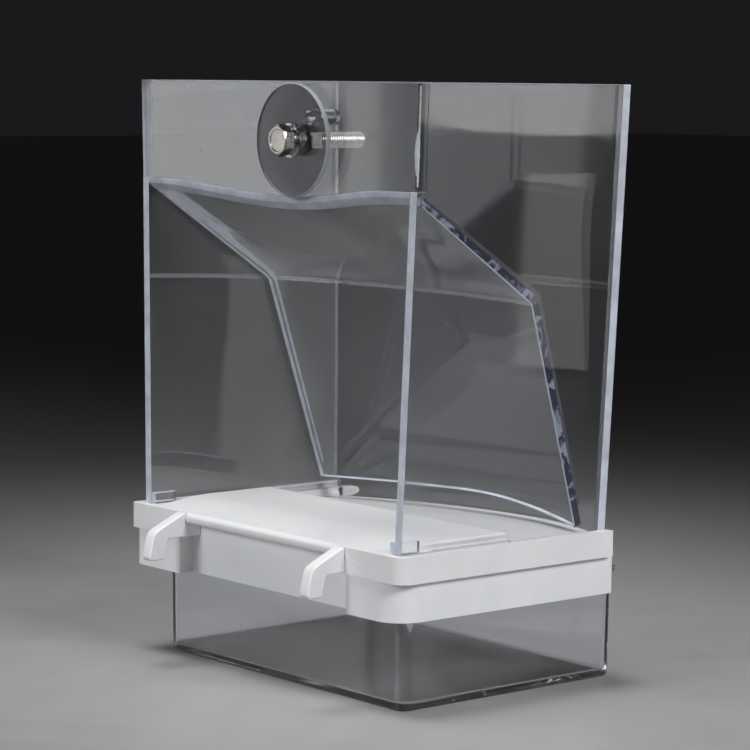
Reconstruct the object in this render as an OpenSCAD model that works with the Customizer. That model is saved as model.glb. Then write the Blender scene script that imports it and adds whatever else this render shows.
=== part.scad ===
// Clear acrylic seed hopper for cage birds. It stands on its own catch tray, hangs on the bars by two
// hooks and is held to them by a clear disc and an M5 bolt.
// X runs along the front, Y backwards and Z up. The front face looks towards -Y.

/* [Hopper] */
// Outside width across the top of the hopper
hopper_top_w = 131; // [120:0.1:140]
// Outside width where the hopper meets the deck
hopper_deck_w = 122; // [118:0.1:126]
// Height of the hopper's top above the table
total_h = 175.8; // [165:0.1:200]
// Thickness of the acrylic sheet
sheet_t = 3; // [2.5:0.1:4]
// Outside depth at the top, from the front panel's face
hopper_top_d = 79.9; // [78:0.1:90]
// Outside depth at the deck, from the front panel's face
hopper_deck_d = 77; // [74:0.1:80]

/* [Feed chute] */
// Height of the front panel's lower edge at its ends
panel_foot_z = 146.2; // [140:0.1:150]
// How far that edge sags between its ends
panel_sag = 3.3; // [0:0.1:5]
// Height of the chute's fold
fold_z = 115.5; // [105:0.1:120]
// Slope of the chute's upper leg below the horizontal, in degrees
upper_slope = 32.8; // [30:0.1:36]
// Lean of the chute's lower leg from the vertical, in degrees
lower_lean = 17.25; // [15:0.05:19]
// Height of the chute's lower lip at its right end
lip_z = 47.9; // [47.5:0.1:52]
// How far the lip arches above that
lip_arch = 4.9; // [0:0.1:8]

/* [White base] */
// Width of the base's upper band
band_w = 128.4; // [126:0.1:132]
// Width of the base's lower band
skirt_w = 123.8; // [120:0.1:126]
// Height of the deck above the table
deck_z = 45.9; // [44:0.1:48]
// Height of the step between the two bands
step_z = 38.2; // [37:0.1:39]
// Height of the base's lower edge
skirt_z = 26.8; // [20:0.1:28]
// Height of the raised plateau above the deck
plateau_h = 1.8; // [1:0.1:3]
// Width of the finger recess in the front
recess_w = 80; // [70:1:90]

/* [Hooks] */
// Distance between the hooks' centres
hook_spacing = 76; // [70:1:80]
// Thickness of each hook
hook_t = 4; // [3:0.1:6]
// Reach of a hook in front of the base
hook_reach = 13.4; // [10:0.1:16]

/* [Catch tray] */
// Outside width of the tray
tray_w = 112; // [104:0.1:112]
// Outside depth of the tray
tray_d = 82.8; // [76:0.1:84]
// Wall thickness of the tray
tray_t = 2; // [1.5:0.1:2.5]
// Height of the tray's rim
tray_h = 33.9; // [33:0.1:34]

/* [Bar clamp] */
// Diameter of the clear disc
disc_d = 32.5; // [28:0.5:34]
// Thickness of the clear disc
disc_t = 1.5; // [1:0.1:3]
// Distance of the bolt's axis to the right of the middle
bolt_x = 13; // [0:0.5:20]
// Height of the bolt's axis
bolt_z = 159.2; // [158:0.1:161]
// Width across the flats of the bolt's head and nut
hex_af = 8; // [7.8:0.1:8]
// Length of the bolt's shank
shank_l = 29.3; // [25:0.1:40]

/* [Hidden] */
$fn = 64;
eps = 0.01;

// Colours
clear = [0.82, 0.87, 0.92, 0.35];
frosted = [0.85, 0.88, 0.95, 0.9];
white = [0.93, 0.93, 0.94];
steel = [0.72, 0.70, 0.66];

// Hopper planes. A height gives the half width and the depth there.
panel_y = 4.3;
splay = (hopper_top_w - hopper_deck_w) / 2 / (total_h - deck_z);
lean = (hopper_top_d - hopper_deck_d) / (total_h - deck_z);
side_t = sheet_t / cos(atan(splay));
rear_t = sheet_t / cos(atan(lean));
function half_out(z) = hopper_deck_w / 2 + (z - deck_z) * splay;
function half_in(z) = half_out(z) - side_t;
function rear_out(z) = panel_y + hopper_deck_d + (z - deck_z) * lean;
function rear_in(z) = rear_out(z) - rear_t;
side_foot_z = 44.4;
rear_foot_z = 41;
hopper_rear = rear_out(deck_z);
// The side walls' front edges lean back a little, up to the panel that rests on them.
wall_foot_y = 2.85;
function wall_front(z) = wall_foot_y + (z - deck_z) * (panel_y - 0.15 - wall_foot_y) / (panel_foot_z - deck_z);

// The front panel's lower edge hangs lowest a little right of the middle and is level beyond that.
sag_x = 6;
sag_left = 62;
sag_right = 46;
function sag_u(x) = min(1, x < sag_x ? (sag_x - x) / sag_left : (x - sag_x) / sag_right);
function panel_sag_at(x) = panel_sag * pow(1 - pow(sag_u(x), 2), 2);
bead_h = 2;
stations = 24;
edge_x = half_in(panel_foot_z);

// Chute outline at one place along X, in (Y, Z), anticlockwise from the foot of its front edge
fold_y = 52.15;
fold_bow = 1;
fold_r = 3;
peak_x = 18;
arch_left = 79;
arch_right = 40.5;
arch_left_drop = 4.3;
function lip_at(x) = lip_z + lip_arch - (x < peak_x
    ? arch_left_drop * pow((peak_x - x) / arch_left, 1.3)
    : lip_arch * pow((x - peak_x) / arch_right, 2));
function bow_at(x) = fold_bow * (1 - pow(x / edge_x, 2));
function leg_y(z) = fold_y + (fold_z - z) * tan(lower_lean);
leg_t = sheet_t / cos(lower_lean);
foot_fall = sheet_t * tan(upper_slope);
slope_t = sheet_t / cos(upper_slope);
foot_gap = 0.06;
function slope_z(y) = fold_z + (fold_y - y) * tan(upper_slope);
// A fold is two straight legs joined by a short cut corner at each face. The front edge stands close
// behind the cement that joins it to the panel.
function outline(x) = let(
        front = panel_foot_z - panel_sag_at(x) - bead_h,
        bow = bow_at(x),
        lip = lip_at(x),
        back_lip = lip + sheet_t * sin(lower_lean),
        under_y = fold_y - sheet_t * (1 - sin(lower_lean)) - 0.35,
        under_z = slope_z(under_y) - slope_t,
        cut_y = under_y - fold_r * 0.7,
        cut_z = slope_z(cut_y) - slope_t + bow,
        foot_y = panel_y + sheet_t + foot_gap)
    [
        [foot_y, front - foot_fall],
        [cut_y, cut_z],
        [leg_y(under_z - fold_r) - leg_t, under_z - fold_r + bow],
        [leg_y(lip) - leg_t, lip],
        [leg_y(back_lip), back_lip],
        [leg_y(fold_z - fold_r), fold_z - fold_r + bow],
        [fold_y - fold_r * 0.8, slope_z(fold_y - fold_r * 0.8) + bow],
        [foot_y, slope_z(foot_y) - panel_sag_at(x)]
    ];
corners = 8;

// White base
band_d = 81.6;
skirt_front = 0.6;
skirt_rear = 83.5;
wall_t = 2.2;
recess_back = 5.6;
recess_t = 1.4;
nose_z = 42.6;
insert_front = 2;
insert_half = 57.75;
insert_rear = 46.6;
insert_z = 42.9;
fit_gap = 0.2;
bay_half = insert_half - 0.5;
seat_half = hopper_deck_w / 2 + 0.3;
floor_rear = 77;
floor_t = 2;
bay_z = 34.6;
tray_gap = 0.5;

// Catch tray
tray_front = 7.8;
tray_corner = 4;
tray_round = 1.5;
tray_draft = 0.4;
flange_w = 2.4;
flange_t = 1.6;
rail_inner = tray_w / 2 + tray_draft + tray_gap;

// Clamp
disc_front = 0.9;
disc_back = disc_front + disc_t;
shank_r = 2.45;
spring_t = 0.9;
flat_t = 0.8;
head_h = 3.3;
head_seat = disc_front - spring_t - flat_t;
peg_r = 2.4;
peg_l = 10.5;
peg_dx = 7.4;
peg_dz = 6.6;
slip = 0.35;
nut_h = 4;

// The origin lies under the middle of the object's own box.
tray_rear = tray_front + tray_d + tray_draft;
mid_y = (tray_rear - hook_reach) / 2;

module placed() translate([0, -mid_y, 0]) children();

// A (Y, Z) outline stretched along X, and an (X, Z) outline stretched along Y
module along_x(x0, x1) translate([x0, 0, 0]) rotate([90, 0, 90]) linear_extrude(x1 - x0) children();
module along_y(y0, y1) translate([0, y1, 0]) rotate([90, 0, 0]) linear_extrude(y1 - y0) children();
module block(x0, x1, y0, y1, z0, z1) translate([x0, y0, z0]) cube([x1 - x0, y1 - y0, z1 - z0]);
module bolt_rod(r, y0, y1) translate([bolt_x, y1, bolt_z]) rotate([90, 0, 0]) cylinder(r = r, h = y1 - y0);
module peg_rod(r, y0, y1) translate([peg_dx, 0, peg_dz]) bolt_rod(r, y0, y1);

// Plan of a band with a round front corner on the right and a nearly square one on the left
module plan(w, y0, y1, r) {
    left_r = 1;
    translate([-w / 2, y0 + r]) square([w, y1 - y0 - r]);
    translate([-w / 2, y0 + left_r]) square([w / 2, r]);
    translate([left_r - w / 2, y0]) square([w - left_r - r, r + eps]);
    translate([w / 2 - r, y0 + r]) circle(r);
    translate([left_r - w / 2, y0 + left_r]) circle(left_r);
}

module raised(z0, z1) translate([0, 0, z0]) linear_extrude(z1 - z0) children();

// The frame is a ring of two bands, with a finger recess, seats for the walls and an open tray bay.
module base_frame() {
    color(white) placed() difference() {
        union() {
            raised(step_z, deck_z) plan(band_w, 0, band_d, 4.5);
            raised(skirt_z, step_z + eps) difference() {
                plan(skirt_w, skirt_front, skirt_rear, 9);
                plan(skirt_w - 2 * wall_t, skirt_front + wall_t, skirt_rear - wall_t, 7);
            }
            block(-recess_w / 2 - wall_t, recess_w / 2 + wall_t, skirt_front + wall_t / 2,
                recess_back + recess_t, skirt_z, step_z + eps);
        }
        // Finger recess under the rounded front edge
        block(-recess_w / 2, recess_w / 2, -1, recess_back, skirt_z - 1, nose_z);
        along_x(-hook_spacing / 2 + hook_t / 2, hook_spacing / 2 - hook_t / 2) difference() {
            translate([-eps, nose_z - eps]) square([1.6, deck_z - nose_z + 1]);
            translate([1.6, deck_z - 1.65]) circle(r = 1.65);
        }
        // Middle opened up from below
        block(-bay_half, bay_half, recess_back + wall_t + 3, floor_rear, step_z - 1, deck_z + 1);
        // Seats of the deck plate, the side walls and the back wall
        block(-insert_half, insert_half, insert_front, floor_rear, insert_z, deck_z + 1);
        block(-seat_half, seat_half, wall_foot_y - 0.3, floor_rear + eps, side_foot_z, deck_z + 1);
        block(-seat_half, seat_half, floor_rear, band_d + 1, rear_foot_z, deck_z + 1);
        // Tray bay, open to the rear
        block(-rail_inner - flange_w, rail_inner + flange_w, skirt_rear - wall_t - 1, skirt_rear + 1,
            skirt_z - 1, bay_z);
    }
}

// Deck plate with a raised plateau that slopes down to the front
module deck_plate() {
    plateau_z = deck_z + plateau_h;
    plate_half = insert_half - fit_gap;
    end_x = 55;
    ramp_front = 6;
    ramp_top = 21;
    plate_rear = insert_rear - fit_gap;
    color(white) placed() {
        difference() {
            block(-plate_half, plate_half, insert_front + fit_gap, plate_rear, insert_z, deck_z);
            // Husk slots between the plateau and the side walls
            for (s = [-1, 1]) {
                slot_x = s * (end_x + 2.2);
                block(slot_x - 1.6, slot_x + 1.6, 16, insert_rear + 1, insert_z - 1, deck_z + 1);
            }
        }
        intersection() {
            along_x(-end_x, end_x) polygon([
                [ramp_front, deck_z - 1], [ramp_front, deck_z], [ramp_top - 4, plateau_z - 0.25],
                [ramp_top, plateau_z], [plate_rear - 0.5, plateau_z], [plate_rear, plateau_z - 0.5],
                [plate_rear, deck_z - 1]
            ]);
            along_y(0, insert_rear) polygon([
                [-end_x, deck_z - 1], [-end_x, plateau_z - 0.6], [0.6 - end_x, plateau_z],
                [end_x - 0.6, plateau_z], [end_x, plateau_z - 0.6], [end_x, deck_z - 1]
            ]);
        }
    }
}

// The trough's floor is highest at the right and falls away to the left.
module trough_floor() {
    half = bay_half - fit_gap;
    crest_x = 36;
    crest_z = 46.8;
    left_z = 41.9;
    right_z = 45.6;
    function floor_z(x) = x < crest_x
        ? crest_z - (crest_z - left_z) * pow((crest_x - x) / (crest_x + half), 1.6)
        : crest_z - (crest_z - right_z) * pow((x - crest_x) / (half - crest_x), 2);
    steps = 20;
    top = [for (i = [0:steps]) let(x = -half + 2 * half * i / steps) [x, floor_z(x)]];
    bottom = [for (i = [steps:-1:0]) [top[i][0], top[i][1] - floor_t]];
    color(white) placed() along_y(insert_rear, floor_rear - fit_gap) polygon(concat(top, bottom));
}

// A hook is flat, with a leg that drops behind a cage bar.
module hook(x) {
    tip_z = 32.4;
    arm_z = 38.6;
    color(white) placed() along_x(x - hook_t / 2, x + hook_t / 2) polygon([
        [recess_back, arm_z], [recess_back, nose_z], [0, nose_z], [0, deck_z], [-1.2, deck_z - 0.2],
        [-4.7, deck_z - 1.8], [-9.4, deck_z - 3.9], [-11.2, deck_z - 5], [-12, deck_z - 6.4],
        [-hook_reach, tip_z + 0.9], [0.6 - hook_reach, tip_z], [5.4 - hook_reach, tip_z],
        [-6.9, arm_z - 0.9], [-6.2, arm_z]
    ]);
}
module left_hook() hook(-hook_spacing / 2);
module right_hook() hook(hook_spacing / 2);

// A rail is a channel that the tray's flange slides in.
module rail(s) {
    outer = skirt_w / 2 - wall_t;
    inner = rail_inner;
    web = inner + flange_w - 0.3;
    low = tray_h - flange_t - 0.3;
    high = tray_h + 0.4;
    color(white) placed() along_y(10.5, skirt_rear - wall_t) polygon([
        [s * inner, low - 2], [s * outer, low - 2], [s * outer, high + 1.7], [s * inner, high + 1.7],
        [s * inner, high], [s * web, high], [s * web, low], [s * inner, low]
    ]);
}
module left_rail() rail(-1);
module right_rail() rail(1);

// A small lug stands out at the rear left corner.
module rear_lug() {
    color(white) placed() along_x(-63.6, -59.4) polygon([
        [band_d, 40.4], [band_d, 44], [88.2, 43.6], [89, 42.4], [88.4, 41.5], [86, 40.8]
    ]);
}

// Sheets of the hopper, each bounded by the planes that the others lie in
module side_wall(s) {
    z0 = side_foot_z;
    z1 = total_h;
    color(clear) placed() intersection() {
        along_y(0, rear_out(z1)) polygon([
            [s * half_in(z0), z0], [s * half_out(z0), z0], [s * half_out(z1), z1], [s * half_in(z1), z1]
        ]);
        along_x(-hopper_top_w / 2 - 1, hopper_top_w / 2 + 1) polygon([
            [wall_front(z0), z0], [rear_in(z0), z0], [rear_in(z1), z1], [panel_y + sheet_t, z1],
            [panel_y + sheet_t, panel_foot_z], [wall_front(panel_foot_z), panel_foot_z]
        ]);
    }
}
module left_wall() side_wall(-1);
module right_wall() side_wall(1);

module back_wall() {
    z0 = rear_foot_z;
    z1 = total_h;
    color(clear) placed() intersection() {
        along_x(-hopper_top_w / 2 - 1, hopper_top_w / 2 + 1) polygon([
            [rear_in(z0), z0], [rear_out(z0), z0], [rear_out(z1), z1], [rear_in(z1), z1]
        ]);
        along_y(panel_y, rear_out(z1) + 1) polygon([
            [-half_out(z0), z0], [half_out(z0), z0], [half_out(z1), z1], [-half_out(z1), z1]
        ]);
    }
}

// Heights of the front panel's lower edge, less some drop, from left to right
function edge_at(t, drop) = let(
        x = t * edge_x,
        z = panel_foot_z - panel_sag_at(x) - drop)
    [t * half_in(z), z];
function lower_edge(drop) = [for (i = [0:stations]) edge_at(2 * i / stations - 1, drop)];

// The panel covers the side walls' front ends.
module front_panel() {
    color(clear) placed() difference() {
        along_y(panel_y, panel_y + sheet_t) polygon(concat(
            [[-half_out(panel_foot_z), panel_foot_z]], lower_edge(0), [[half_out(panel_foot_z), panel_foot_z],
            [half_out(total_h), total_h], [-half_out(total_h), total_h]]));
        bolt_rod(shank_r + slip, panel_y - 1, panel_y + sheet_t + 1);
        peg_rod(peg_r + slip, panel_y - 1, panel_y + sheet_t + 1);
    }
}

// A ring of points at each station along X is skinned to the next one.
module skin(rings, n) {
    last = len(rings) - 1;
    sides = [for (i = [0:last - 1], j = [0:n - 1]) let(
            a = i * n + j,
            b = i * n + (j + 1) % n,
            c = a + n,
            d = b + n)
        each [[a, b, d], [a, d, c]]];
    first_cap = [for (j = [n - 1:-1:0]) j];
    last_cap = [for (j = [0:n - 1]) last * n + j];
    polyhedron([for (ring = rings) each ring], concat(sides, [first_cap, last_cap]));
}

function ring_at(t) = [for (p = outline(t * edge_x)) [t * half_in(p[1]), p[0], p[1]]];

// The chute is one sheet, folded once, that guides the seed down to the trough.
module feed_chute() {
    color(clear) placed() skin([for (i = [0:stations]) ring_at(2 * i / stations - 1)], corners);
}

// Wedge of cement between the front panel's lower edge and the chute
function bead_ring(t) = let(
        x = t * edge_x,
        top = panel_foot_z - panel_sag_at(x),
        low = top - bead_h + foot_gap)
    [for (p = [[panel_y, top], [panel_y, low], [panel_y + sheet_t, low - foot_fall], [panel_y + sheet_t, top]])
        [t * half_in(p[1]), p[0], p[1]]];
module panel_bead() {
    color(frosted) placed() skin([for (i = [0:stations]) bead_ring(2 * i / stations - 1)], 4);
}

// Fillets of cement along the chute's two ends, on its hopper side
module chute_beads() {
    bead = 0.9;
    first_y = panel_y + sheet_t + 1.5;
    last_z = lip_z + 6;
    rise = bead / cos(upper_slope);
    run = bead / cos(lower_lean);
    lift = 0.1;
    color(frosted) placed() intersection() {
        for (s = [-1, 1]) along_x(s > 0 ? half_in(last_z) - bead - 0.4 : -edge_x - 1,
            s > 0 ? edge_x + 1 : 0.4 + bead - half_in(last_z)) polygon([
            [first_y, slope_z(first_y) + lift], [fold_y - fold_r * 0.8 + lift, slope_z(fold_y - fold_r * 0.8) + lift],
            [leg_y(fold_z - fold_r) + lift, fold_z - fold_r + lift], [leg_y(last_z) + lift, last_z],
            [leg_y(last_z) + lift + run, last_z], [leg_y(fold_z) + lift + run, fold_z + rise],
            [first_y, slope_z(first_y) + rise + lift]
        ]);
        along_y(0, hopper_rear) polygon([
            [-half_in(last_z), last_z], [half_in(last_z), last_z], [half_in(total_h), total_h],
            [-half_in(total_h), total_h]
        ]);
        difference() {
            block(-edge_x - 1, edge_x + 1, 0, hopper_rear, last_z, total_h);
            along_y(-1, hopper_rear + 1) polygon([
                [bead - half_in(last_z), last_z - 1], [half_in(last_z) - bead, last_z - 1],
                [half_in(total_h) - bead, total_h + 1], [bead - half_in(total_h), total_h + 1]
            ]);
        }
    }
}

// Small locating blocks inside the front lower corners of the side walls
module corner_blocks() {
    foot = deck_z + 0.1;
    top = foot + 3.3;
    depth = 2;
    rear = 10.9;
    color(clear) placed() for (s = [-1, 1]) along_y(wall_foot_y + 0.1, rear) polygon([
        [s * half_in(foot), foot], [s * (half_in(foot) - depth), foot],
        [s * (half_in(foot) - depth), top], [s * half_in(top), top]
    ]);
}

// One corner post of the tray, inset from the outer wall, with a round lower edge
module tray_post(inset, floor_z) {
    r = tray_corner - inset;
    b = tray_round - inset / 2;
    rotate_extrude($fn = 32) polygon(concat(
        [[0, floor_z]],
        [for (a = [0:15:90]) [r - b + b * sin(a), floor_z + b - b * cos(a)]],
        [[r + tray_draft, tray_h + (inset > 0 ? 1 : 0)], [0, tray_h + (inset > 0 ? 1 : 0)]]));
}
module tray_solid(inset, floor_z) {
    hull() for (x = [-1, 1], y = [0, 1])
        translate([x * (tray_w / 2 - tray_corner), tray_front + tray_corner + y * (tray_d - 2 * tray_corner), 0])
            tray_post(inset, floor_z);
}

module catch_tray() {
    outer = tray_w / 2 + tray_draft;
    color(clear) placed() {
        difference() {
            tray_solid(0, 0);
            tray_solid(tray_t, tray_t);
        }
        for (s = [-1, 1]) translate([s * (outer + flange_w / 2 - 0.6), tray_front + tray_d / 2, tray_h - flange_t / 2])
            cube([flange_w - 0.5, tray_d - 2 * tray_corner, flange_t], center = true);
        for (s = [-1, 1]) translate([s * (outer + 1.2), tray_rear - tray_corner, tray_h - flange_t])
            block(-1.8, 1.8, -1, tray_corner - 0.2, 0, flange_t);
    }
}

// Clear disc, with the peg that keeps it from turning
module clamp_disc() {
    color(clear) placed() difference() {
        bolt_rod(disc_d / 2, disc_front, disc_back);
        bolt_rod(shank_r + 0.15, disc_front - 1, disc_back + 1);
    }
}
module disc_peg() {
    tip = 0.5;
    color(clear) placed() {
        peg_rod(peg_r, disc_back, disc_back + peg_l - tip);
        translate([bolt_x + peg_dx, disc_back + peg_l, bolt_z + peg_dz]) rotate([90, 0, 0])
            cylinder(r1 = peg_r - tip, r2 = peg_r, h = tip);
    }
}

module flat_washer() {
    color(steel) placed() difference() {
        bolt_rod(5, disc_front - flat_t, disc_front);
        bolt_rod(shank_r + 0.15, -2, 2);
    }
}

// The spring washer is drawn closed up, with its split.
module spring_washer() {
    color(steel) placed() difference() {
        bolt_rod(4.2, head_seat, head_seat + spring_t);
        bolt_rod(shank_r + 0.15, -2, 2);
        translate([bolt_x, 0, bolt_z]) rotate([0, 35, 0]) block(2, 6, -2, 1, -0.4, 0.4);
    }
}

module hex(r_flat, y0, y1) translate([bolt_x, y1, bolt_z]) rotate([90, 0, 0])
    cylinder(r = r_flat / cos(30), h = y1 - y0, $fn = 6);

module clamp_bolt() {
    gap = 0.05;
    tip = 0.8;
    color(steel) placed() {
        hex(hex_af / 2, head_seat - gap - head_h, head_seat - gap);
        bolt_rod(shank_r, head_seat - gap - 0.5, head_seat + shank_l - tip);
        translate([bolt_x, head_seat + shank_l, bolt_z]) rotate([90, 0, 0])
            cylinder(r1 = shank_r - tip, r2 = shank_r, h = tip);
    }
}

module clamp_nut() {
    seat = panel_y + sheet_t;
    color(steel) placed() difference() {
        hex(hex_af / 2, seat, seat + nut_h);
        bolt_rod(shank_r + 0.08, seat - 1, seat + nut_h + 1);
    }
}

base_frame();
deck_plate();
trough_floor();
left_hook();
right_hook();
left_rail();
right_rail();
rear_lug();
left_wall();
right_wall();
back_wall();
front_panel();
feed_chute();
panel_bead();
chute_beads();
corner_blocks();
catch_tray();
clamp_disc();
disc_peg();
flat_washer();
spring_washer();
clamp_bolt();
clamp_nut();
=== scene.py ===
"""Looks of the clear hopper feeder for cage birds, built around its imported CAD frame.

Lengths called mm are millimetres in the part's own frame: X along the front from the middle, Y backwards
from the front of the white base, Z up from the table. at() turns them into metres in the row frame.
"""

import math

import bmesh
import bpy
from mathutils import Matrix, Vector


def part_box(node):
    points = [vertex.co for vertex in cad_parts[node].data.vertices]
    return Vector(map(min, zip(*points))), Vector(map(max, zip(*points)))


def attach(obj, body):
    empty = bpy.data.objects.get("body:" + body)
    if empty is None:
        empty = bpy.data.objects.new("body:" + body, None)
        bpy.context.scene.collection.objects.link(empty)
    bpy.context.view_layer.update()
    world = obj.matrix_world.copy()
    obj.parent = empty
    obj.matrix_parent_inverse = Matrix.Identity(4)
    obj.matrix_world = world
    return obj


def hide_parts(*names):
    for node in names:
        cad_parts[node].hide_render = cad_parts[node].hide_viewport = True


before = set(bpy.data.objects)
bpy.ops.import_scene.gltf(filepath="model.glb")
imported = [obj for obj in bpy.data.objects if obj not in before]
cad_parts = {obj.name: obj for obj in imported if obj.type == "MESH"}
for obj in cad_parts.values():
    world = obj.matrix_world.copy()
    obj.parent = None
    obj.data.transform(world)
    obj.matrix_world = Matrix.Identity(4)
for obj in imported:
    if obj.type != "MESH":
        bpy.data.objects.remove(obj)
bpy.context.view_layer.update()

MM = 0.001
MID_Y = 38.8
DECK_Z = 45.9
TOP_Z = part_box("back_wall")[1].z / MM
SHEET = 3.0

# ---------------------------------------------------------------- hopper planes, as in the CAD part
TOP_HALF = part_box("back_wall")[1].x / MM
DECK_HALF = 61.0
PANEL_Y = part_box("front_panel")[0].y / MM + MID_Y
PANEL_FOOT_Z = 146.2
SPLAY = (TOP_HALF - DECK_HALF) / (TOP_Z - DECK_Z)
WALL_T = SHEET / math.cos(math.atan(SPLAY))
BOLT_X, BOLT_Z = 13.0, 159.2
FACING = 0.9        # a face looks along an axis when its normal has at least this much of it
FULL_TURN = 2 * math.pi


def at(x, y, z):
    """A point given in mm in the part's own frame, in metres in the row frame."""
    return Vector((x, y - MID_Y, z)) * MM


def half_in(z):
    """Half the hopper's inside width at height z, in mm."""
    return DECK_HALF + (z - DECK_Z) * SPLAY - WALL_T


# ---------------------------------------------------------------- node materials
class Shader:
    """A material with its node tree cleared, and short ways to add to it."""

    def __init__(self, name):
        self.material = bpy.data.materials.new(name)
        self.material.use_nodes = True
        self.tree = self.material.node_tree
        self.tree.nodes.clear()
        self.coords = self.add("ShaderNodeTexCoord").outputs["Object"]

    def add(self, kind, inputs=None, **settings):
        node = self.tree.nodes.new(kind)
        for key, value in settings.items():
            setattr(node, key, value)
        for key, value in (inputs or {}).items():
            self.feed(node.inputs[key], value)
        return node

    def feed(self, socket, value):
        if isinstance(value, bpy.types.NodeSocket):
            self.tree.links.new(value, socket)
        else:
            socket.default_value = value

    def stretched(self, scale):
        """Object coordinates, stretched along some axes."""
        return self.add("ShaderNodeMapping", {"Vector": self.coords, "Scale": scale}).outputs["Vector"]

    def noise(self, scale, detail=2.0, coords=None, roughness=0.5, distortion=0.0):
        inputs = {"Vector": coords or self.coords, "Scale": scale, "Detail": detail,
                  "Roughness": roughness, "Distortion": distortion}
        return self.add("ShaderNodeTexNoise", inputs).outputs["Fac"]

    def ramp(self, value, low, high, out_low=0.0, out_high=1.0):
        inputs = {"Value": value, "From Min": low, "From Max": high, "To Min": out_low, "To Max": out_high}
        return self.add("ShaderNodeMapRange", inputs).outputs["Result"]

    def blend(self, factor, a, b):
        node = self.add("ShaderNodeMix", data_type="RGBA")
        self.feed(node.inputs[0], factor)
        self.feed(node.inputs[6], (*a, 1.0) if isinstance(a, tuple) else a)
        self.feed(node.inputs[7], (*b, 1.0) if isinstance(b, tuple) else b)
        return node.outputs[2]

    def math(self, operation, a, b=0.0):
        node = self.add("ShaderNodeMath", operation=operation)
        self.feed(node.inputs[0], a)
        self.feed(node.inputs[1], b)
        return node.outputs[0]

    def specks(self, scale, size, share):
        """1 in small round spots, in a share of the cells of a Voronoi pattern."""
        cells = self.add("ShaderNodeTexVoronoi", {"Vector": self.coords, "Scale": scale})
        spot = self.math("LESS_THAN", cells.outputs["Distance"], size)
        split = self.add("ShaderNodeSeparateColor", {"Color": cells.outputs["Color"]})
        return self.math("MULTIPLY", spot, self.math("LESS_THAN", split.outputs[0], share))

    def bump(self, height, distance, strength=1.0, normal=None):
        inputs = {"Height": height, "Distance": distance, "Strength": strength}
        if normal is not None:
            inputs["Normal"] = normal
        return self.add("ShaderNodeBump", inputs).outputs["Normal"]

    def principled(self, inputs):
        return self.add("ShaderNodeBsdfPrincipled", inputs).outputs["BSDF"]

    def output(self, surface):
        self.add("ShaderNodeOutputMaterial", {"Surface": surface})
        return self.material


def clear_plastic(name, tint, smear=0.10, wave=0.5, through=0.9, ior=1.49, clarity=0.99):
    """Clear sheet: faint smears and waves, a few dust specks, and light let through to what is behind."""
    s = Shader(name)
    wipe = s.noise(14.0, 4.0, s.stretched((1.0, 1.0, 0.35)), 0.6, 0.8)
    haze = s.ramp(wipe, 0.45, 0.75, 0.0, smear)
    dust = s.specks(160.0, 0.045, 0.12)
    rough = s.math("MAXIMUM", haze, s.math("MULTIPLY", dust, 0.5))
    waves = s.bump(s.noise(9.0, 1.0), 0.0008 * wave)
    normal = s.bump(dust, 0.0002, 1.0, waves)
    glass = s.principled({"Base Color": (*tint, 1.0), "Transmission Weight": clarity, "IOR": ior,
                          "Roughness": rough, "Normal": normal})
    lamps = s.add("ShaderNodeBsdfTransparent", {"Color": (through, through, through, 1.0)}).outputs[0]
    shadow = s.add("ShaderNodeLightPath").outputs["Is Shadow Ray"]
    mix = s.add("ShaderNodeMixShader", {0: shadow, 1: glass, 2: lamps})
    return s.output(mix.outputs[0])


def frosted_plastic(name, colour, grain_scale=(1.0, 1.0, 1.0)):
    """A sawn or cemented edge: milky, with fine marks across it."""
    s = Shader(name)
    marks = s.noise(1600.0, 3.0, s.stretched(grain_scale), 0.6)
    patches = s.noise(160.0, 3.0)
    darker = tuple(0.72 * c for c in colour)
    tone = s.blend(s.ramp(patches, 0.35, 0.7), darker, colour)
    return s.output(s.principled({
        "Base Color": tone, "Roughness": s.ramp(marks, 0.2, 0.8, 0.3, 0.6), "IOR": 1.49,
        "Transmission Weight": 0.25, "Subsurface Weight": 0.1, "Normal": s.bump(marks, 0.00006, 0.6)}))


def mottled_bond(name):
    """Cement that wetted the joint in patches: dark where it is clear, milky where it isn't."""
    s = Shader(name)
    patches = s.noise(150.0, 3.0, None, 0.55, 1.0)
    tone = s.blend(s.ramp(patches, 0.50, 0.59), (0.012, 0.017, 0.045), (0.34, 0.38, 0.52))
    return s.output(s.principled({
        "Base Color": tone, "Roughness": s.ramp(patches, 0.4, 0.6, 0.12, 0.45), "IOR": 1.49,
        "Normal": s.bump(patches, 0.0003, 0.6)}))


def moulded_white(name, shade):
    """Satin white plastic with flow marks, fine texture and a few dark specks."""
    s = Shader(name)
    flow = s.noise(35.0, 3.0, s.stretched((1.0, 1.6, 1.0)), 0.5, 0.6)
    grain = s.noise(1400.0, 2.0)
    # shade below 1 darkens the whole tone, a painted shade for a copy of the plastic that lies in shadow
    low, high = (tuple(shade * c for c in tone) for tone in ((0.74, 0.745, 0.765), (0.80, 0.80, 0.815)))
    tone = s.blend(s.ramp(flow, 0.3, 0.7), low, high)
    speck = s.specks(75.0, 0.018, 0.10)
    tone = s.blend(speck, tone, (0.05, 0.045, 0.04))
    sink = s.bump(flow, 0.0002, 0.35)
    return s.output(s.principled({
        "Base Color": tone, "Roughness": s.ramp(grain, 0.3, 0.7, 0.34, 0.48), "IOR": 1.5,
        "Subsurface Weight": 0.12, "Subsurface Scale": 0.004,
        "Normal": s.bump(grain, 0.00003, 0.4, sink)}))


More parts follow.
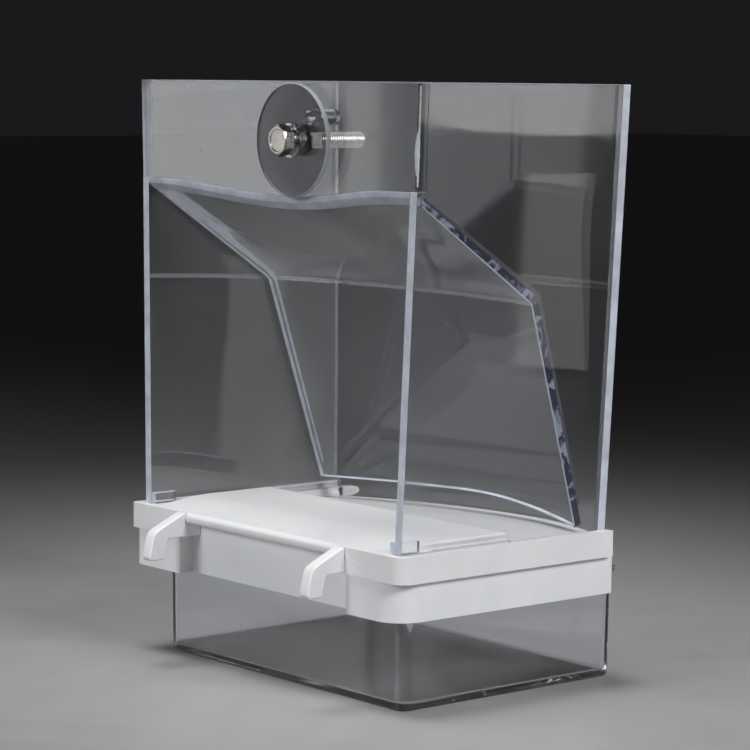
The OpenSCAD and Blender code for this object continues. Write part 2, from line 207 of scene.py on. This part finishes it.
def stainless(name, colour, rough):
    """Turned steel with fine rings and a few stains."""
    s = Shader(name)
    rings = s.noise(2200.0, 2.0, s.stretched((1.0, 0.15, 1.0)))
    stain = s.noise(420.0, 3.0, None, 0.6)
    worn = tuple(0.55 * c for c in colour)
    tone = s.blend(s.ramp(stain, 0.55, 0.8), colour, worn)
    return s.output(s.principled({
        "Base Color": tone, "Metallic": 1.0,
        "Roughness": s.ramp(rings, 0.2, 0.8, rough - 0.08, rough + 0.12),
        "Normal": s.bump(rings, 0.00003, 0.5)}))


def pale_floor():
    """The even grey table."""
    s = Shader("pale_floor")
    grain = s.noise(60.0, 4.0)
    tone = s.blend(grain, (0.36, 0.36, 0.37), (0.40, 0.40, 0.41))
    return s.output(s.principled({"Base Color": tone, "Roughness": s.ramp(grain, 0.0, 1.0, 0.35, 0.5)}))


CLEAR = clear_plastic("clear_sheet", (0.97, 0.98, 1.0))
TRAY = clear_plastic("clear_moulding", (0.95, 0.96, 0.975), 0.14, 1.0)
HAZY = clear_plastic("clear_sheet_scuffed", (0.97, 0.98, 1.0), 0.36, 0.6, clarity=0.95)
CHUTE = clear_plastic("clear_sheet_bent", (0.96, 0.97, 1.0), 0.22, 2.5, clarity=0.975)
SMOKED = clear_plastic("grey_disc_sheet", (0.27, 0.27, 0.29), 0.22, 0.3, 0.5, 1.25)
RIM = frosted_plastic("satin_rim", (0.50, 0.52, 0.56))
DIM = frosted_plastic("dark_joint", (0.10, 0.105, 0.13))
CUT = frosted_plastic("frosted_cut", (0.80, 0.84, 0.96), (1.0, 1.0, 0.2))
CEMENT = frosted_plastic("cement_line", (0.66, 0.70, 0.80))
STRAND = frosted_plastic("cement_strand", (0.85, 0.88, 0.93))
BOND = mottled_bond("mottled_bond")
WHITE = moulded_white("moulded_white", 1.0)
# a darker copy of the white plastic: painted shade for the trough floor, which lies in the chute's shadow
TROUGH_PAINTED_SHADE = moulded_white("moulded_white_painted_shade", 0.80)
STEEL = stainless("stainless_bright", (0.60, 0.575, 0.53), 0.2)
SHANK = stainless("stainless_shank", (0.70, 0.68, 0.64), 0.36)


# ---------------------------------------------------------------- meshes
WELD_M = 2e-6
FLAT_DEG = 0.6


def cad_mesh(node):
    """A CAD node's mesh, welded and with its flat faces joined up."""
    bm = bmesh.new()
    bm.from_mesh(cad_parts[node].data)
    bmesh.ops.remove_doubles(bm, verts=bm.verts, dist=WELD_M)
    bmesh.ops.dissolve_limit(bm, angle_limit=math.radians(FLAT_DEG), verts=bm.verts, edges=bm.edges)
    bm.normal_update()
    return bm


def piece(bm, name, node, body, materials, round_mm=0.0, steps=2, sharp=32.0):
    """A finished object from bm, which stands for a CAD node and rides on its body."""
    bmesh.ops.recalc_face_normals(bm, faces=bm.faces)
    for face in bm.faces:
        face.smooth = True
    for edge in bm.edges:
        edge.smooth = edge.calc_face_angle(math.pi) < math.radians(sharp)
    mesh = bpy.data.meshes.new(name)
    bm.to_mesh(mesh)
    bm.free()
    for material in materials:
        mesh.materials.append(material)
    obj = bpy.data.objects.new(name, mesh)
    bpy.context.scene.collection.objects.link(obj)
    if round_mm:
        bevel = obj.modifiers.new("soft_edges", "BEVEL")
        bevel.width = round_mm * MM
        bevel.segments = steps
        bevel.limit_method = "ANGLE"
        bevel.angle_limit = math.radians(sharp)
        bevel.harden_normals = True
    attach(obj, body)
    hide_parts(node)


def grid(bm, rings, closed_ends=True, material=None):
    """Skins rings of points, each to the next. material(i) is for the faces at place i in a ring."""
    rows = [[bm.verts.new(p) for p in ring] for ring in rings]
    count = len(rows[0])
    for low, high in zip(rows, rows[1:]):
        for i in range(count):
            j = (i + 1) % count
            face = bm.faces.new((low[i], low[j], high[j], high[i]))
            if material:
                face.material_index = material(i)
    if closed_ends:
        bm.faces.new(list(reversed(rows[0])))
        bm.faces.new(rows[-1])
    return rows


def mark_new(bm, count, index):
    """Gives a material to every face after the first count of them."""
    bm.faces.ensure_lookup_table()
    for face in bm.faces[count:]:
        face.material_index = index


def filleted(points, radii, count=5):
    """A closed 2-D outline with its corners rounded, the same number of points at each corner."""
    out = []
    n = len(points)
    for i, r in enumerate(radii):
        p = Vector(points[i])
        a = (Vector(points[i - 1]) - p)
        b = (Vector(points[(i + 1) % n]) - p)
        half = max(a.angle(b) / 2, 1e-3)
        cut = min(r / math.tan(half), 0.45 * a.length, 0.45 * b.length)
        a.normalize()
        b.normalize()
        start, end = p + a * cut, p + b * cut
        for k in range(count):
            t = k / (count - 1)
            out.append(tuple((1 - t) ** 2 * start + 2 * t * (1 - t) * p + t ** 2 * end))
    return out


# ---------------------------------------------------------------- clear sheets
BONDED_GAP = 0.04
SHEET_SOFT = 0.22       # rounding of the sheets' edges
REAR_END_Y = 70.0       # beyond this lie the side walls' rear ends
NOTCH_Z = 147.0         # above this the right wall's front end is behind the panel
HOLE_REACH = 16.0       # the panel's holes lie within this of the bolt's axis


def sheet_wall(node, axis, frosted, inset=None, sheet=None):
    """A flat sheet. frosted(normal, centre in mm) says how an edge looks: 0 clear, 1 milky, 2 dark."""
    bm = cad_mesh(node)
    if inset:
        for vert in bm.verts:
            inset(vert.co)
    bm.normal_update()
    for face in bm.faces:
        centre = face.calc_center_median() / MM + Vector((0, MID_Y, 0))
        flat = abs(face.normal[axis]) > FACING
        face.material_index = 0 if flat else frosted(face.normal, centre)
    piece(bm, node + "_sheet", node, "hopper", [sheet or CLEAR, CUT, DIM], SHEET_SOFT, 2)


def rear_inset(co):
    """Keeps a side wall's rear end just clear of the back wall."""
    if co.y / MM + MID_Y > REAR_END_Y:
        co.y -= BONDED_GAP * MM


def wall_frosted(side, normal, centre):
    """A side wall's edges are milky, but for its bonded rear end and the polished end behind the panel."""
    if normal.y > FACING:
        return 2
    return 0 if side == "right" and normal.y < -FACING and centre.z > NOTCH_Z else 1


def panel_frosted(normal, centre):
    """The panel's edges are milky, but for its right end and the walls of its holes."""
    in_hole = math.hypot(centre.x - BOLT_X, centre.z - BOLT_Z) <= HOLE_REACH
    return int(normal.x < 0.5 and not in_hole)


def build_walls():
    """The hopper's four flat sheets."""
    for side in ("left", "right"):
        sheet_wall(side + "_wall", 0, lambda n, c, s=side: wall_frosted(s, n, c), rear_inset,
                   HAZY if side == "left" else CLEAR)
    sheet_wall("back_wall", 1, lambda n, c: 1 if n.x > -0.5 else 2)
    sheet_wall("front_panel", 1, panel_frosted)


# ---------------------------------------------------------------- feed chute
FOLD_Y, FOLD_Z = 52.15, 115.5
UPPER, LOWER = math.radians(32.8), math.radians(17.25)
LEG_T, SLOPE_T = SHEET / math.cos(LOWER), SHEET / math.cos(UPPER)
EDGE_X = half_in(PANEL_FOOT_Z)
BEAD_H = 2.0
FOOT_GAP = 0.06
SAG, SAG_X, SAG_LEFT, SAG_RIGHT = 3.3, 6.0, 62.0, 46.0
LIP_PEAK_X, LIP_PEAK_Z = 18.0, 52.8
LIP_LEFT, LIP_LEFT_DROP, LIP_LEFT_POWER = 79.0, 4.3, 1.3
LIP_RIGHT, LIP_RIGHT_DROP = 40.5, 4.9


def panel_sag(x):
    """How far the panel's lower edge hangs below its ends at x, in mm."""
    u = min(1.0, (SAG_X - x) / SAG_LEFT if x < SAG_X else (x - SAG_X) / SAG_RIGHT)
    return SAG * (1 - u ** 2) ** 2


def lip_z(x):
    """Height of the chute's lower lip at x, in mm."""
    if x < LIP_PEAK_X:
        return LIP_PEAK_Z - LIP_LEFT_DROP * ((LIP_PEAK_X - x) / LIP_LEFT) ** LIP_LEFT_POWER
    return LIP_PEAK_Z - LIP_RIGHT_DROP * ((x - LIP_PEAK_X) / LIP_RIGHT) ** 2


def slope_z(y):
    """Height of the upper leg's top face at y."""
    return FOLD_Z + (FOLD_Y - y) * math.tan(UPPER)


def leg_y(z):
    """Place of the lower leg's rear face at height z."""
    return FOLD_Y + (FOLD_Z - z) * math.tan(LOWER)


def chute_outline(x):
    """The chute's corners in (Y, Z) at one place along X, from the foot of its front edge."""
    sag = panel_sag(x)
    front = PANEL_FOOT_Z - sag - BEAD_H
    bow = 1 - (x / EDGE_X) ** 2
    lip = lip_z(x)
    back_lip = lip + SHEET * math.sin(LOWER)
    rise, run = math.tan(UPPER), math.tan(LOWER)
    in_y = (SLOPE_T * run - LEG_T) / (1 - rise * run)
    in_z = -in_y * rise - SLOPE_T
    under = (FOLD_Y + in_y, FOLD_Z + in_z + bow)
    foot_y = PANEL_Y + SHEET + FOOT_GAP
    return [(foot_y, front - SHEET * rise), under, (leg_y(lip) - LEG_T, lip), (leg_y(back_lip), back_lip),
            (FOLD_Y, FOLD_Z + bow), (foot_y, slope_z(foot_y) - sag)]


CHUTE_ROUND = (0.1, 1.6, 0.35, 0.35, 4.6, 0.1)
CHUTE_POINTS = 6
CHUTE_STATIONS = 56
CHUTE_GAP = 0.05
BOND_DEPTH, FOOT_SHARE = 0.6, 0.55


def bonded_end(bm, ring, rows_end):
    """Closes the chute's right end: a thin milky strip along its underside, and mottled cement above it."""
    low_run = list(range(CHUTE_POINTS - 1, 2 * CHUTE_POINTS + 1))
    centre = [Vector(ring[i]) for i in low_run]
    inner = []
    for k, point in enumerate(centre):
        along = centre[min(k + 1, len(centre) - 1)] - centre[max(k - 1, 0)]
        across = Vector((0, -along.z, along.y)).normalized()
        depth = BOND_DEPTH * (1.0 if k else FOOT_SHARE)
        inner.append(bm.verts.new(point + across * depth * MM))
    outer = [rows_end[i] for i in low_run]
    for k in range(len(low_run) - 1):
        strip = bm.faces.new((outer[k], outer[k + 1], inner[k + 1], inner[k]))
        strip.material_index = 2
    upper = [rows_end[i] for i in range(2 * CHUTE_POINTS + 1, len(rows_end))] + rows_end[:CHUTE_POINTS - 1]
    cap = bm.faces.new([outer[-1], *upper, outer[0], *inner])
    cap.material_index = 3


def build_chute():
    """The bent sheet, skinned from one outline after another along X."""
    bm = bmesh.new()
    rings = []
    for i in range(CHUTE_STATIONS + 1):
        t = 2 * i / CHUTE_STATIONS - 1
        outline = filleted(chute_outline(t * EDGE_X), CHUTE_ROUND, CHUTE_POINTS)
        rings.append([at(t * (half_in(z) - CHUTE_GAP), y, z) for y, z in outline])
    lip = range(2 * CHUTE_POINTS, 4 * CHUTE_POINTS - 1)
    rows = grid(bm, rings, False, lambda i: 1 if i in lip else 0)
    left_cap = bm.faces.new(rows[0])
    left_cap.material_index = 2
    bonded_end(bm, rings[-1], rows[-1])
    piece(bm, "feed_chute_bent", "feed_chute", "hopper", [CHUTE, CUT, CEMENT, BOND],
          sharp=40)


STRAND_STEPS, STRAND_AROUND = 70, 12
STRAND_R, STRAND_RIPPLE = 0.30, 0.05
STRAND_FOOT, STRAND_SHORT = 1.5, 2.2
BLOB_Z, BLOB_REACH, BLOB_R = 156.5, 6.0, 0.60


def glue_strand(bm):
    """A thin run of cement down the panel's right front edge, with a blob half way."""
    rings = []
    for i in range(STRAND_STEPS + 1):
        z = PANEL_FOOT_Z + STRAND_FOOT + (TOP_Z - PANEL_FOOT_Z - STRAND_SHORT) * i / STRAND_STEPS
        blob = max(0.0, 1 - abs(z - BLOB_Z) / BLOB_REACH) ** 0.35
        r = STRAND_R + STRAND_RIPPLE * math.sin(1.9 * z) + BLOB_R * blob
        x = half_in(z) + WALL_T - BLOB_R * blob
        rings.append([at(x + r * math.cos(a), PANEL_Y - 0.08 + 0.6 * r * math.sin(a), z)
                      for a in (FULL_TURN * k / STRAND_AROUND for k in range(STRAND_AROUND))])
    grid(bm, rings)


BEAD_PROUD, BEAD_SHORT, BEAD_SEAM, BEAD_WAVER = 0.2, 0.3, 0.06, 0.12
BEAD_ROUND = (0.3, 0.3, 0.1, 0.1, 0.1)


def build_panel_bead():
    """Cement between the front panel's lower edge and the chute, rounded where it shows."""
    bm = bmesh.new()
    rings = []
    fall = SHEET * math.tan(UPPER)
    rear = PANEL_Y + SHEET - BEAD_SHORT
    for i in range(CHUTE_STATIONS + 1):
        t = 2 * i / CHUTE_STATIONS - 1
        top = PANEL_FOOT_Z - panel_sag(t * EDGE_X)
        low = top - BEAD_H + BEAD_SEAM
        front = PANEL_Y - BEAD_PROUD - BEAD_WAVER * math.sin(i * 1.7) * math.sin(i * 0.6)
        outline = [(front, top - 0.1), (front, low + 0.2), (rear, low - fall),
                   (rear, top - BEAD_SEAM), (PANEL_Y, top - BEAD_SEAM)]
        ring = filleted(outline, BEAD_ROUND, 4)
        rings.append([at(t * (half_in(z) - CHUTE_GAP), y, z) for y, z in ring])
    grid(bm, rings)
    count = len(bm.faces)
    glue_strand(bm)
    mark_new(bm, count, 1)
    piece(bm, "panel_bead_cement", "panel_bead", "hopper", [CEMENT, STRAND], sharp=60)


def build_small_bonds():
    """The cement at the chute's ends and the two clear corner blocks."""
    bm = cad_mesh("chute_beads")
    for face in bm.faces:
        face.material_index = 0 if face.calc_center_median().x < 0 else 1
    piece(bm, "chute_end_beads", "chute_beads", "hopper", [CEMENT, DIM], 0.2, 2)
    bm = cad_mesh("corner_blocks")
    for face in bm.faces:
        face.material_index = 0 if abs(face.normal.x) > FACING else 1
    piece(bm, "corner_block_pair", "corner_blocks", "hopper", [CLEAR, CUT], 0.2, 2)


# ---------------------------------------------------------------- white base
BASE_ROUND = {"base_frame": 0.5, "deck_plate": 0.35, "trough_floor": 0.3, "left_rail": 0.15,
              "right_rail": 0.15, "rear_lug": 0.5, "left_hook": 0.7, "right_hook": 0.7}


def build_base():
    """The white mouldings, each with its edges rounded."""
    for node, radius in BASE_ROUND.items():
        # the trough floor gets the darker copy of the white, painted shade for where it lies under the
        # chute
        material = TROUGH_PAINTED_SHADE if node == "trough_floor" else WHITE
        piece(cad_mesh(node), node + "_moulded", node, "base", [material], radius, 3)


# ---------------------------------------------------------------- catch tray
TRAY_FRONT, TRAY_W, TRAY_D, TRAY_H = 7.8, 112.0, 82.8, 33.9
TRAY_CORNER, TRAY_ROUND, TRAY_WALL, TRAY_DRAFT = 4.0, 1.5, 2.0, 0.4
TRAY_INNER_ROUND, RIM_ROUND, FLANGE_GAP = 1.0, 0.4, 0.02
FLANGE_OUT, FLANGE_T, FLANGE_REAR = 1.55, 1.6, 1.5
BEND_STEPS, CORNER_STEPS = 7, 8


def tray_ring(grow, z):
    """Plan of the tray at height z, grown by some mm from its nominal outside."""
    w, d, r = TRAY_W / 2 + grow, TRAY_D / 2 + grow, TRAY_CORNER + grow
    middle = TRAY_FRONT + TRAY_D / 2
    out = []
    for quarter, (sx, sy) in enumerate(((1, -1), (1, 1), (-1, 1), (-1, -1))):
        for k in range(CORNER_STEPS + 1):
            a = math.radians(90 * quarter - 90 + 90 * k / CORNER_STEPS)
            out.append(at(sx * (w - r) + r * math.cos(a), middle + sy * (d - r) + r * math.sin(a), z))
    return out


def build_tray():
    """The tray from its floor's outside, up over the rim and down inside, with a flange on each side."""
    bm = bmesh.new()
    bends = [math.radians(90 * k / BEND_STEPS) for k in range(BEND_STEPS + 1)]
    rings = [tray_ring(TRAY_ROUND * (math.sin(a) - 1), TRAY_ROUND * (1 - math.cos(a))) for a in bends]
    rings.append(tray_ring(TRAY_DRAFT - 0.02, TRAY_H - RIM_ROUND))
    rings.append(tray_ring(TRAY_DRAFT - RIM_ROUND, TRAY_H))
    rings.append(tray_ring(TRAY_DRAFT - TRAY_WALL + RIM_ROUND, TRAY_H))
    rings.append(tray_ring(TRAY_DRAFT - TRAY_WALL, TRAY_H - RIM_ROUND))
    for a in reversed(bends):
        rings.append(tray_ring(TRAY_INNER_ROUND * (math.sin(a) - 1) - TRAY_WALL,
                               TRAY_WALL + TRAY_INNER_ROUND * (1 - math.cos(a))))
    grid(bm, rings)
    near = TRAY_W / 2 + TRAY_DRAFT + FLANGE_GAP
    flange_y = (TRAY_FRONT + TRAY_CORNER, TRAY_FRONT + TRAY_D - FLANGE_REAR)
    for s in (-1, 1):
        add_block(bm, sorted((s * near, s * (near + FLANGE_OUT))), flange_y, (TRAY_H - FLANGE_T, TRAY_H))
    piece(bm, "catch_tray_moulded", "catch_tray", "tray", [TRAY], sharp=38)


def add_block(bm, xs, ys, zs):
    """A box with its upright edges rounded."""
    outline = filleted([(xs[0], ys[0]), (xs[1], ys[0]), (xs[1], ys[1]), (xs[0], ys[1])], (0.3,) * 4, 4)
    grid(bm, [[at(x, y, z) for x, y in outline] for z in zs])


# ---------------------------------------------------------------- bar clamp
def lathe(bm, profile, count, centre=(BOLT_X, BOLT_Z)):
    """Turns a closed (radius, y) profile about a line along Y."""
    rings = []
    for k in range(count):
        a = FULL_TURN * k / count
        rings.append([at(centre[0] + radius * math.cos(a), y, centre[1] + radius * math.sin(a))
                      for radius, y in profile])
    rows = grid(bm, rings, False)
    for i in range(len(profile)):
        j = (i + 1) % len(profile)
        bm.faces.new((rows[-1][i], rows[-1][j], rows[0][j], rows[0][i]))


def chamfered(r0, r1, y0, y1, c):
    """The profile of a ring with all four corners cut off."""
    return [(r0 + c, y0), (r1 - c, y0), (r1, y0 + c), (r1, y1 - c),
            (r1 - c, y1), (r0 + c, y1), (r0, y1 - c), (r0, y0 + c)]


DISC_FRONT, DISC_T, DISC_R, DISC_RIM = 0.9, 1.5, 16.25, 0.4
DISC_BACK = DISC_FRONT + DISC_T
PEG_X, PEG_Z, PEG_L, PEG_R, PEG_TIP = 7.4, 6.6, 10.5, 2.4, 0.5
FLAT_WASHER_R, FLAT_WASHER_T = 5.0, 0.8
SPRING_WASHER_R, SPRING_WASHER_T, SPRING_WIRE = 4.2, 0.9, 0.82
SPLIT_FROM, SPLIT_TURN, SPLIT_LIFT = 43.0, 334.0, 0.06   # the split ring's start, turn and rise
HEAD_SEAT = DISC_FRONT - FLAT_WASHER_T - SPRING_WASHER_T
SHANK_R = 2.45
HEX_AF, HEX_STEPS, HEX_TURNED = 8.0, 72, 0.95
HEAD_GAP, HEAD_H, NUT_GAP, NUT_H = 0.06, 3.34, 0.03, 3.95
HEAD_DISH = ((3.3, 0.0), (3.0, 0.22), (0.6, 0.25))      # radius and depth of the rings in the head's face
SHANK_START, SHANK_END = 0.3, 29.3
PITCH, THREAD_DEPTH, CONE_L, CONE_DEPTH = 0.8, 0.13, 0.9, 0.85


def hex_radius(a):
    """Distance from the middle of a hexagon to its side at angle a."""
    sixth = math.pi / 3
    return HEX_AF / 2 / math.cos((a + sixth / 2) % sixth - sixth / 2)


def hexagon(bm, y_seat, y_face, r_hole, dish):
    """A hexagon with a turned chamfer, and either a shallow dish or a hole in its face."""
    toward = -1 if y_face < y_seat else 1
    r_top = HEX_AF / 2 * HEX_TURNED

    def ring(radius, y):
        angles = [FULL_TURN * k / HEX_STEPS for k in range(HEX_STEPS)]
        return [at(BOLT_X + radius(a) * math.cos(a), y(a), BOLT_Z + radius(a) * math.sin(a))
                for a in angles]

    def chamfer(y_end, sense):
        return lambda a: y_end - sense * max(0.0, hex_radius(a) - r_top) * 0.5

    rings = [ring(lambda a: r_top, lambda a: y_seat), ring(hex_radius, chamfer(y_seat, -toward)),
             ring(hex_radius, chamfer(y_face, toward)), ring(lambda a: r_top, lambda a: y_face)]
    if dish:
        for radius, depth in HEAD_DISH:
            rings.append(ring(lambda a, r=radius: r, lambda a, d=depth: y_face - toward * d))
        grid(bm, rings)
        return
    for radius, y in ((r_hole + 0.5, y_face), (r_hole, y_face - toward * 0.5),
                      (r_hole, y_seat + toward * 0.5), (r_hole + 0.5, y_seat)):
        rings.append(ring(lambda a, r=radius: r, lambda a, v=y: v))
    rings.append(rings[0])
    rows = grid(bm, rings, False)
    bmesh.ops.remove_doubles(bm, verts=rows[0] + rows[-1], dist=1e-7)


def threaded_rod(bm, y0, y1):
    """A shank with a shallow thread and a coned end."""
    around, per_turn = 40, 6
    steps = int((y1 - y0) / PITCH * per_turn)
    rings = []
    for i in range(steps + 1):
        y = y0 + (y1 - y0) * i / steps
        cone = min(1.0, (y1 - y) / CONE_L)
        ring = []
        for k in range(around):
            a = FULL_TURN * k / around
            wave = abs(((y / PITCH - k / around) % 1.0) * 2 - 1)
            r = (SHANK_R - THREAD_DEPTH * wave) - (1 - cone) * CONE_DEPTH
            ring.append(at(BOLT_X + r * math.cos(a), y, BOLT_Z + r * math.sin(a)))
        rings.append(ring)
    grid(bm, rings)


def build_disc():
    """The clear disc, with a satin rim, and its peg."""
    bm = bmesh.new()
    lathe(bm, chamfered(SHANK_R + 0.2, DISC_R, DISC_FRONT, DISC_BACK, 0.25), 128)
    for face in bm.faces:
        centre = face.calc_center_median() / MM
        r = math.hypot(centre.x - BOLT_X, centre.z - BOLT_Z)
        face.material_index = 1 if r > DISC_R - DISC_RIM else 0
    piece(bm, "clamp_disc_turned", "clamp_disc", "clamp", [SMOKED, RIM], sharp=30)
    bm = bmesh.new()
    y0, y1 = DISC_BACK + 0.02, DISC_BACK + PEG_L
    profile = [(0.01, y0), (PEG_R, y0), (PEG_R, y1 - PEG_TIP), (PEG_R - PEG_TIP, y1), (0.01, y1)]
    lathe(bm, profile, 40, (BOLT_X + PEG_X, BOLT_Z + PEG_Z))
    piece(bm, "disc_peg_turned", "disc_peg", "clamp", [CLEAR], sharp=30)


def build_bolt():
    """The hexagon bolt, with plain steel on its head and worn steel on its shank, and the nut."""
    bm = bmesh.new()
    hexagon(bm, HEAD_SEAT - HEAD_GAP, HEAD_SEAT - HEAD_H, 0, True)
    count = len(bm.faces)
    threaded_rod(bm, HEAD_SEAT - SHANK_START, HEAD_SEAT + SHANK_END)
    mark_new(bm, count, 1)
    piece(bm, "clamp_bolt_turned", "clamp_bolt", "bolt", [STEEL, SHANK], sharp=24)
    bm = bmesh.new()
    seat = PANEL_Y + SHEET + NUT_GAP
    hexagon(bm, seat, seat + NUT_H, SHANK_R + 0.08, False)
    piece(bm, "clamp_nut_turned", "clamp_nut", "hopper", [STEEL], sharp=24)


def build_flat_washer():
    """The plain washer that lies on the disc's front."""
    bm = bmesh.new()
    y0, y1 = DISC_FRONT - FLAT_WASHER_T, DISC_FRONT - 0.02
    lathe(bm, chamfered(SHANK_R + 0.12, FLAT_WASHER_R, y0, y1, 0.15), 64)
    piece(bm, "flat_washer_turned", "flat_washer", "clamp", [STEEL], sharp=30)


def build_spring_washer():
    """A split ring of square wire, pressed nearly flat."""
    bm = bmesh.new()
    rings = []
    inner, outer, steps = SHANK_R + 0.18, SPRING_WASHER_R, 60
    low, high = HEAD_SEAT + 0.04, HEAD_SEAT + SPRING_WIRE
    wire = filleted([(inner, low), (outer, low), (outer, high), (inner, high)], (0.15,) * 4, 3)
    for k in range(steps + 1):
        a = math.radians(SPLIT_FROM + SPLIT_TURN * k / steps)
        lift = SPLIT_LIFT * (k / steps - 0.5)
        rings.append([at(BOLT_X + r * math.cos(a), y + lift, BOLT_Z + r * math.sin(a)) for r, y in wire])
    grid(bm, rings)
    piece(bm, "spring_washer_turned", "spring_washer", "clamp", [STEEL], sharp=40)


# ---------------------------------------------------------------- stage, light and camera
FLOOR_HALF, FLOOR_DROP = 6.0, 0.0002
WORLD_TONE = (0.010, 0.010, 0.011, 1)
# Each lamp's name, its place, the point it faces, its size, all in metres, its power and its spread
LAMPS = (
    ("front_left_box", (-0.60, -0.30, 0.36), (0, -0.02, 0.34), (0.44, 0.52), 0.17, 80),
    ("right_rear_box", (0.50, 0.42, 0.40), (0.02, 0.0, 0.37), (0.56, 0.56), 0.36, 80),
    ("right_rear_strip", (0.49, 0.43, 0.052), (0.0, 0.0, 0.052), (0.035, 0.10), 0.0009, 60),
    ("top_box", (-0.06, -0.16, 0.95), (0.0, 0.0, 0.03), (0.30, 0.30), 0.36, 40),
    ("right_side_box", (0.80, 0.02, 0.50), (0.0, 0.0, 0.03), (0.25, 0.25), 0.30, 40),
    ("front_fill_box", (0.02, -0.85, 0.40), (0, 0, 0.05), (0.30, 0.30), 0.21, 40),
)
SENSOR_MM, LENS_MM = 36.0, 133.49
CAMERA_PLACE, CAMERA_TURN = (0.637166, -0.527343, 0.177613), (83.86007, -0.54624, 50.18372)


def build_stage():
    """The pale floor, and the dark room beyond it."""
    bm = bmesh.new()
    bmesh.ops.create_grid(bm, x_segments=1, y_segments=1, size=FLOOR_HALF)
    mesh = bpy.data.meshes.new("studio_floor")
    bm.to_mesh(mesh)
    bm.free()
    mesh.materials.append(pale_floor())
    floor = bpy.data.objects.new("studio_floor", mesh)
    floor.location.z = -FLOOR_DROP
    bpy.context.scene.collection.objects.link(floor)
    world = bpy.data.worlds.new("dark_studio")
    world.use_nodes = True
    world.node_tree.nodes["Background"].inputs["Color"].default_value = WORLD_TONE
    bpy.context.scene.world = world


def softbox(name, place, aim, size, power, spread):
    """A rectangular lamp at place, in metres, that points at aim."""
    lamp = bpy.data.lights.new(name, "AREA")
    lamp.shape = "RECTANGLE"
    lamp.size, lamp.size_y = size
    lamp.energy = power
    lamp.spread = math.radians(spread)
    obj = bpy.data.objects.new(name, lamp)
    obj.location = place
    obj.rotation_euler = (Vector(aim) - Vector(place)).to_track_quat("-Z", "Y").to_euler()
    bpy.context.scene.collection.objects.link(obj)


def build_camera():
    """The camera fitted to the photo's straight edges."""
    data = bpy.data.cameras.new("photo_camera")
    data.sensor_width = SENSOR_MM
    data.lens = LENS_MM
    camera = bpy.data.objects.new("photo_camera", data)
    camera.location = CAMERA_PLACE
    camera.rotation_euler = [math.radians(a) for a in CAMERA_TURN]
    bpy.context.scene.collection.objects.link(camera)
    bpy.context.scene.camera = camera


build_walls()
build_chute()
build_panel_bead()
build_small_bonds()
build_base()
build_tray()
build_disc()
build_flat_washer()
build_spring_washer()
build_bolt()
build_stage()
for lamp in LAMPS:
    softbox(*lamp)
build_camera()

scene = bpy.context.scene
scene.view_settings.view_transform = "Standard"
scene.cycles.max_bounces = 24
scene.cycles.transmission_bounces = 20
scene.cycles.glossy_bounces = 6
scene.cycles.transparent_max_bounces = 24
scene.cycles.sample_clamp_indirect = 4.0
scene.cycles.caustics_reflective = False
scene.cycles.caustics_refractive = False
